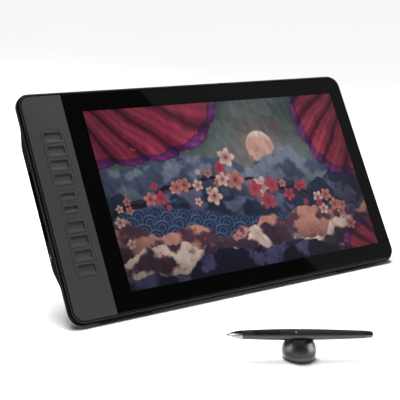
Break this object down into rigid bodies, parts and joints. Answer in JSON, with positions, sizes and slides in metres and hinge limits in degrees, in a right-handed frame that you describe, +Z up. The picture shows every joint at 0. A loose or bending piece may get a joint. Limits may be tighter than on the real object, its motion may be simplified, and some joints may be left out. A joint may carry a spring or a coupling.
{
  "type": "graphics tablet with screen",
  "caption": "Drawing tablet with a built-in screen and a column of press keys, leaning on a fold-out rear leg, with its pen lying across a small round holder.",
  "frame": {"origin": "on the floor under the middle of the whole set's box", "axes": "+X to the right of the screen, +Y to the back, +Z up; the screen faces -Y and leans back"},
  "size_m": [0.4366, 0.3632, 0.2],
  "materials": {
    "cover": "fine grained black",
    "frame": "satin black",
    "panel": "soft touch dark grey",
    "keys": "soft touch dark grey",
    "glass": "black bordered clear glass",
    "tape": "black foam tape",
    "board": "green solder resist",
    "chips": "moulded black",
    "domes": "stamped",
    "screws": "blackened",
    "screen": null,
    "guide": "clear acrylic",
    "tray": "pressed sheet",
    "foam": "grey foam",
    "cable": "amber film",
    "sockets": "plated",
    "jack": "black",
    "brass": "turned",
    "rubber": "matt black",
    "steel": "ground",
    "leg": "anodised dark",
    "button": "gloss black",
    "light": "clear, lit white",
    "pen": "soft black",
    "pen_trim": "gloss black",
    "pen_nose": "dark chrome",
    "nib": "hard black",
    "coil": "wound copper on ferrite",
    "battery": "sleeved can",
    "holder": "gloss black",
    "nib_block": "dark grey"
  },
  "bodies": {
    "tablet": {"rear_cover": "cover", "front_frame": "frame", "key_panel": "panel", "cover_glass": "glass", "glass_tape": "tape", "key_board": "board", "key_domes": "domes", "board_screws": "screws", "screen_cell": "screen", "light_guide": "guide", "light_bar": "light", "screen_tray": "tray", "pen_sensor_board": "board", "shield_plate": "tray", "foam_pads": "foam", "main_board": "board", "board_chips": "chips", "flat_cables": "cable", "power_jack": "jack", "video_socket": "sockets", "data_socket": "sockets", "case_screws": "screws", "arm_inserts": "brass", "rear_feet": "rubber", "heel_pads": "rubber", "friction_clips": "steel"},
    "stand": {"stand_leg": "leg", "hinge_pins": "steel", "stand_pad": "rubber"},
    "key_1": {"express_key_1": "keys"},
    "key_2": {"express_key_2": "keys"},
    "key_3": {"express_key_3": "keys"},
    "key_4": {"express_key_4": "keys"},
    "key_5": {"express_key_5": "keys"},
    "key_6": {"express_key_6": "keys"},
    "key_7": {"express_key_7": "keys"},
    "key_8": {"express_key_8": "keys"},
    "small_key_1_body": {"small_key_1": "keys"},
    "small_key_2_body": {"small_key_2": "keys"},
    "power": {"power_button": "button", "power_light": "light"},
    "holder": {"holder_base": "holder", "holder_foot": "rubber", "nib_block": "nib_block", "spare_nibs": "nib", "nib_puller": "steel"},
    "holder_top": {"holder_dome": "holder"},
    "pen": {"pen_nose": "pen_nose", "pen_grip": "pen", "pen_barrel": "pen", "pen_end_cap": "pen_trim", "pen_light": "light", "pen_coil": "coil", "pressure_sensor": "chips", "pen_board": "board", "pen_battery": "battery"},
    "pen_nib": {"nib": "nib", "nib_plunger": "nib"},
    "pen_key_1": {"pen_button_1": "pen_trim"},
    "pen_key_2": {"pen_button_2": "pen_trim"}
  },
  "joints": [
    {"name": "stand_hinge", "type": "hinge", "parent": "tablet", "child": "stand", "pos_m": [0.00025, 0.10519, 0.14187], "axis": [1, 0, 0], "range_deg": [-62.72, 45]},
    {"name": "express_key_1_press", "type": "slide", "parent": "tablet", "child": "key_1", "axis": [0, 0.8192, -0.5736], "range_m": [0, 0.0008], "stiffness_N_per_m": 900, "springref_m": -0.0002},
    {"name": "express_key_2_press", "type": "slide", "parent": "tablet", "child": "key_2", "axis": [0, 0.8192, -0.5736], "range_m": [0, 0.0008], "stiffness_N_per_m": 900, "springref_m": -0.0002},
    {"name": "express_key_3_press", "type": "slide", "parent": "tablet", "child": "key_3", "axis": [0, 0.8192, -0.5736], "range_m": [0, 0.0008], "stiffness_N_per_m": 900, "springref_m": -0.0002},
    {"name": "express_key_4_press", "type": "slide", "parent": "tablet", "child": "key_4", "axis": [0, 0.8192, -0.5736], "range_m": [0, 0.0008], "stiffness_N_per_m": 900, "springref_m": -0.0002},
    {"name": "express_key_5_press", "type": "slide", "parent": "tablet", "child": "key_5", "axis": [0, 0.8192, -0.5736], "range_m": [0, 0.0008], "stiffness_N_per_m": 900, "springref_m": -0.0002},
    {"name": "express_key_6_press", "type": "slide", "parent": "tablet", "child": "key_6", "axis": [0, 0.8192, -0.5736], "range_m": [0, 0.0008], "stiffness_N_per_m": 900, "springref_m": -0.0002},
    {"name": "express_key_7_press", "type": "slide", "parent": "tablet", "child": "key_7", "axis": [0, 0.8192, -0.5736], "range_m": [0, 0.0008], "stiffness_N_per_m": 900, "springref_m": -0.0002},
    {"name": "express_key_8_press", "type": "slide", "parent": "tablet", "child": "key_8", "axis": [0, 0.8192, -0.5736], "range_m": [0, 0.0008], "stiffness_N_per_m": 900, "springref_m": -0.0002},
    {"name": "small_key_1_press", "type": "slide", "parent": "tablet", "child": "small_key_1_body", "axis": [0, 0.8192, -0.5736], "range_m": [0, 0.0008], "stiffness_N_per_m": 900, "springref_m": -0.0002},
    {"name": "small_key_2_press", "type": "slide", "parent": "tablet", "child": "small_key_2_body", "axis": [0, 0.8192, -0.5736], "range_m": [0, 0.0008], "stiffness_N_per_m": 900, "springref_m": -0.0002},
    {"name": "power_press", "type": "slide", "parent": "tablet", "child": "power", "axis": [1, 0, 0], "range_m": [0, 0.0005], "stiffness_N_per_m": 1200, "springref_m": -0.0001},
    {"name": "holder_lift", "type": "slide", "parent": "tablet", "child": "holder", "axis": [0, 0, 1], "range_m": [0, 0.06]},
    {"name": "holder_twist", "type": "hinge", "parent": "holder", "child": "holder_top", "pos_m": [-0.05705, -0.14834, 0.0056], "axis": [0, 0, 1], "range_deg": [0, 45]},
    {"name": "pen_lift", "type": "slide", "parent": "holder_top", "child": "pen", "axis": [0, 0, 1], "range_m": [0, 0.08]},
    {"name": "nib_press", "type": "slide", "parent": "pen", "child": "pen_nib", "axis": [0.8949, -0.4462, 0], "range_m": [0, 0.001], "stiffness_N_per_m": 1500, "springref_m": -0.0001},
    {"name": "pen_button_1_press", "type": "slide", "parent": "pen", "child": "pen_key_1", "axis": [0.2986, 0.5988, -0.7431], "range_m": [0, 0.0004], "stiffness_N_per_m": 1500, "springref_m": -0.0001},
    {"name": "pen_button_2_press", "type": "slide", "parent": "pen", "child": "pen_key_2", "axis": [0.2986, 0.5988, -0.7431], "range_m": [0, 0.0004], "stiffness_N_per_m": 1500, "springref_m": -0.0001}
  ]
}
